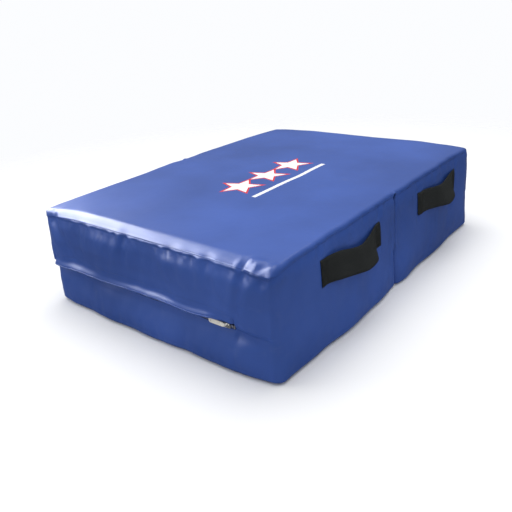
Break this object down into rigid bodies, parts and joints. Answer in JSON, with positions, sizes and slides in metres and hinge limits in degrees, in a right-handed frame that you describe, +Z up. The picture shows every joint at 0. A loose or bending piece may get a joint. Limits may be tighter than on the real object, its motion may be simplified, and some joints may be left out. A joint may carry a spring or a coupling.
{
  "type": "crash landing mat",
  "caption": "Thick two-fold foam crash landing mat in a zipped coated-fabric cover with webbing carry handles.",
  "frame": {"origin": "middle of the footprint on the floor", "axes": "+Z up, X across the width with the handles on its two sides, Y along the length from the near zipped end at -Y to the far one"},
  "size_m": [0.9726, 1.246, 0.313],
  "materials": {
    "cover_top": "satin",
    "cover_side": "satin",
    "cover_base": "matte",
    "foam_firm": "matte",
    "foam_soft": "matte",
    "webbing": "matte",
    "zip_tape": "matte",
    "zip_teeth": "satin",
    "zip_metal": "satin",
    "pull_metal": "gloss"
  },
  "bodies": {
    "near_half": {"bottom_panel_near": "cover_base", "divider_panel_near": "cover_base", "end_panel_lower_near": "cover_side", "end_panel_upper_near": "cover_side", "foam_core_near": "foam_soft", "foam_top_layer_near": "foam_firm", "fold_hinge": "cover_top", "handle_ends_left_near": "webbing", "handle_ends_right_near": "webbing", "side_panel_left_near": "cover_side", "side_panel_right_near": "cover_side", "top_panel_near": "cover_top", "zip_chain_near": "zip_teeth", "zip_stops_near": "zip_metal", "zip_tape_lower_near": "zip_tape", "zip_tape_upper_near": "zip_tape"},
    "far_half": {"bottom_panel_far": "cover_base", "divider_panel_far": "cover_base", "end_panel_lower_far": "cover_side", "end_panel_upper_far": "cover_side", "foam_core_far": "foam_soft", "foam_top_layer_far": "foam_firm", "handle_ends_left_far": "webbing", "handle_ends_right_far": "webbing", "side_panel_left_far": "cover_side", "side_panel_right_far": "cover_side", "top_panel_far": "cover_top", "zip_chain_far": "zip_teeth", "zip_stops_far": "zip_metal", "zip_tape_lower_far": "zip_tape", "zip_tape_upper_far": "zip_tape"},
    "handle_left_far": {"handle_loop_left_far": "webbing"},
    "handle_left_near": {"handle_loop_left_near": "webbing"},
    "handle_right_far": {"handle_loop_right_far": "webbing"},
    "handle_right_near": {"handle_loop_right_near": "webbing"},
    "flap_far": {"zip_flap_far": "cover_side"},
    "flap_near": {"zip_flap_near": "cover_side"},
    "pull_far": {"zip_pull_tab_far": "pull_metal"},
    "pull_near": {"zip_pull_tab_near": "pull_metal"},
    "slider_far": {"zip_slider_far": "zip_metal"},
    "slider_near": {"zip_slider_near": "zip_metal"}
  },
  "joints": [
    {"name": "mat_fold", "type": "hinge", "parent": "near_half", "child": "far_half", "pos_m": [0, 0, 0.315], "axis": [1, 0, 0], "range_deg": [0, 179]},
    {"name": "zip_slide_near", "type": "slide", "parent": "near_half", "child": "slider_near", "axis": [-1, 0, 0], "range_m": [0, 0.705]},
    {"name": "pull_swing_near", "type": "hinge", "parent": "slider_near", "child": "pull_near", "pos_m": [0.298, -0.6155, 0.13], "axis": [0, 0, 1], "range_deg": [0, 175]},
    {"name": "flap_lift_near", "type": "hinge", "parent": "near_half", "child": "flap_near", "pos_m": [0, -0.611, 0.168], "axis": [-1, 0, 0], "range_deg": [0, 110]},
    {"name": "handle_swing_right_near", "type": "hinge", "parent": "near_half", "child": "handle_right_near", "pos_m": [0.4577, -0.273, 0.272], "axis": [0, -1, 0], "range_deg": [0, 90]},
    {"name": "handle_swing_left_near", "type": "hinge", "parent": "near_half", "child": "handle_left_near", "pos_m": [-0.4577, -0.299, 0.272], "axis": [0, 1, 0], "range_deg": [0, 90]},
    {"name": "zip_slide_far", "type": "slide", "parent": "far_half", "child": "slider_far", "axis": [1, 0, 0], "range_m": [0, 0.705]},
    {"name": "pull_swing_far", "type": "hinge", "parent": "slider_far", "child": "pull_far", "pos_m": [-0.298, 0.6155, 0.13], "axis": [0, 0, 1], "range_deg": [0, 175]},
    {"name": "flap_lift_far", "type": "hinge", "parent": "far_half", "child": "flap_far", "pos_m": [0, 0.611, 0.168], "axis": [1, 0, 0], "range_deg": [0, 110]},
    {"name": "handle_swing_left_far", "type": "hinge", "parent": "far_half", "child": "handle_left_far", "pos_m": [-0.4577, 0.273, 0.272], "axis": [0, 1, 0], "range_deg": [0, 90]},
    {"name": "handle_swing_right_far", "type": "hinge", "parent": "far_half", "child": "handle_right_far", "pos_m": [0.4577, 0.299, 0.272], "axis": [0, -1, 0], "range_deg": [0, 90]}
  ]
}
